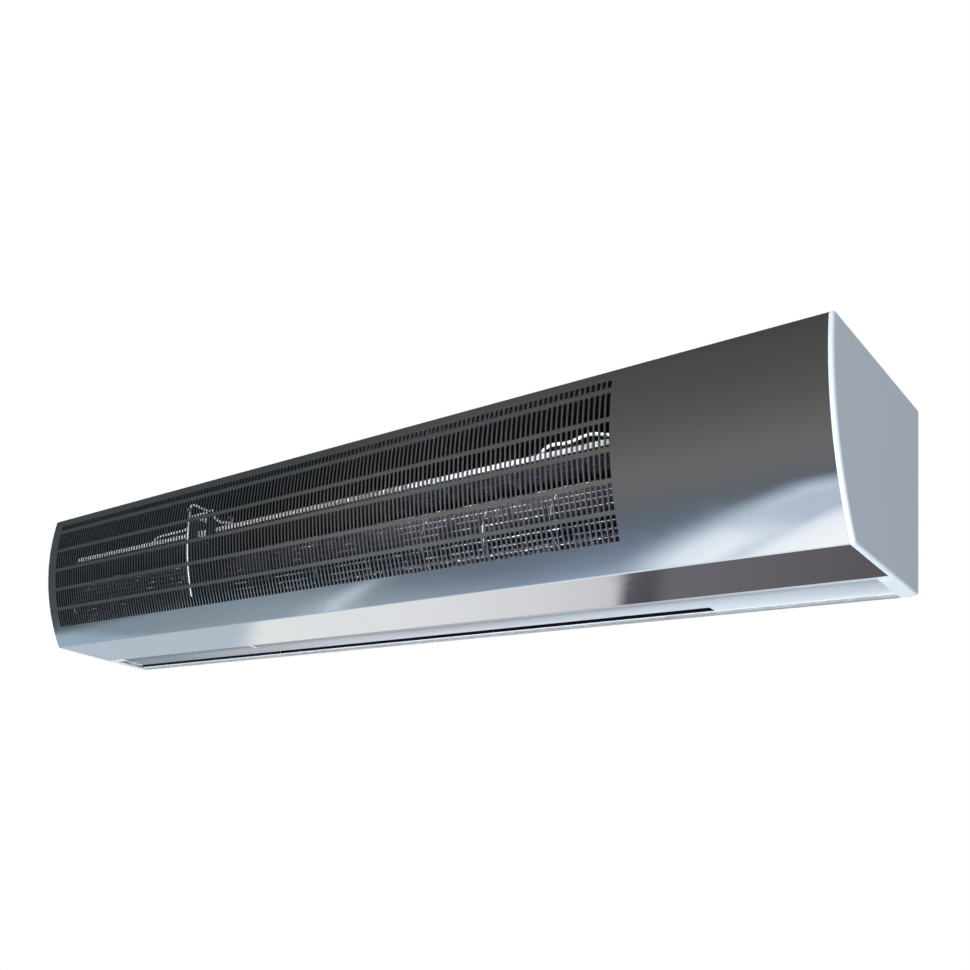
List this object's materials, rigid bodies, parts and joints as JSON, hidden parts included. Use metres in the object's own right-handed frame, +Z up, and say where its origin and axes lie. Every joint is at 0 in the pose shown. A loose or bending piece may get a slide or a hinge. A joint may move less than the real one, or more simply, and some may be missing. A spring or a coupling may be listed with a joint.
{
  "type": "air curtain",
  "caption": "Wall-hung air curtain with a curved, polished, perforated front, a slot outlet underneath, cross-flow impellers and a closed electrics end.",
  "frame": {"origin": "on the wall plane, at the middle of the four wall screws", "axes": "+X along the unit towards the electrics end, -Y out of the wall towards the front, +Z up"},
  "size_m": [1.51, 0.2323, 0.2355],
  "materials": {
    "polished_cover": "polished stainless steel sheet",
    "chassis_steel": "zinc-coated and painted steel sheet",
    "scroll_sheet": "zinc-coated steel sheet",
    "bracket_sheet": "zinc-coated steel sheet",
    "end_cap": "moulded, satin white",
    "white_plastic": "moulded white",
    "dark_plastic": "moulded, dark",
    "red_plastic": "moulded red",
    "board_green": "lacquered circuit board",
    "black_rubber": "moulded rubber",
    "bearing_bronze": "sintered bronze",
    "impeller_aluminium": "rolled aluminium",
    "motor_alloy": "die-cast alloy",
    "stator_steel": "laminated electrical steel",
    "shaft_steel": "ground steel",
    "heater_steel": "heat-tinted stainless tube with steel fins",
    "plated_screw": "zinc-plated steel",
    "wire_white": "white sleeved wire"
  },
  "bodies": {
    "casing": {"back_panel": "chassis_steel", "top_panel": "chassis_steel", "bottom_tray": "chassis_steel", "left_end_plate": "chassis_steel", "right_end_plate": "chassis_steel", "fan_plate": "chassis_steel", "front_cover": "polished_cover", "cover_screws": "plated_screw", "cover_clips": "white_plastic", "left_end_cap": "end_cap", "right_end_cap": "end_cap", "cap_screws": "plated_screw", "scroll_left": "scroll_sheet", "scroll_right": "scroll_sheet", "tongue_left": "scroll_sheet", "tongue_right": "scroll_sheet", "motor_bracket": "bracket_sheet", "motor_stator": "stator_steel", "motor_bell_left": "motor_alloy", "motor_bell_right": "motor_alloy", "motor_rubber_rings": "black_rubber", "bearing_carrier_left": "bracket_sheet", "bearing_carrier_right": "bracket_sheet", "carrier_screws": "plated_screw", "rubber_seat_left": "black_rubber", "rubber_seat_right": "black_rubber", "bearing_left": "bearing_bronze", "bearing_right": "bearing_bronze", "heater_element": "heater_steel", "heater_supports": "bracket_sheet", "end_thermostat": "white_plastic", "electrics_plate": "chassis_steel", "control_board": "board_green", "board_posts": "white_plastic", "board_parts": "dark_plastic", "capacitor": "white_plastic", "capacitor_strap": "plated_screw", "terminal_block": "white_plastic", "terminal_screws": "plated_screw", "cut_out": "dark_plastic", "wire_grommet": "black_rubber", "cable_gland": "dark_plastic", "gland_nut": "dark_plastic", "thermostat_cable": "wire_white", "motor_cable": "wire_white", "heater_cables": "wire_white"},
    "rotor": {"motor_shaft": "shaft_steel", "impeller_left": "impeller_aluminium", "impeller_right": "impeller_aluminium", "stub_shaft_left": "shaft_steel", "stub_shaft_right": "shaft_steel", "hub_screws": "plated_screw"},
    "reset_button": {"reset_button": "red_plastic"}
  },
  "joints": [
    {"name": "rotor_spin", "type": "hinge", "parent": "casing", "child": "rotor", "pos_m": [0, -0.14, -0.096], "axis": [1, 0, 0], "continuous": true},
    {"name": "reset_press", "type": "slide", "parent": "casing", "child": "reset_button", "axis": [-1, 0, 0], "range_m": [0, 0.0015], "stiffness_N_per_m": 400, "springref_m": -0.002}
  ]
}
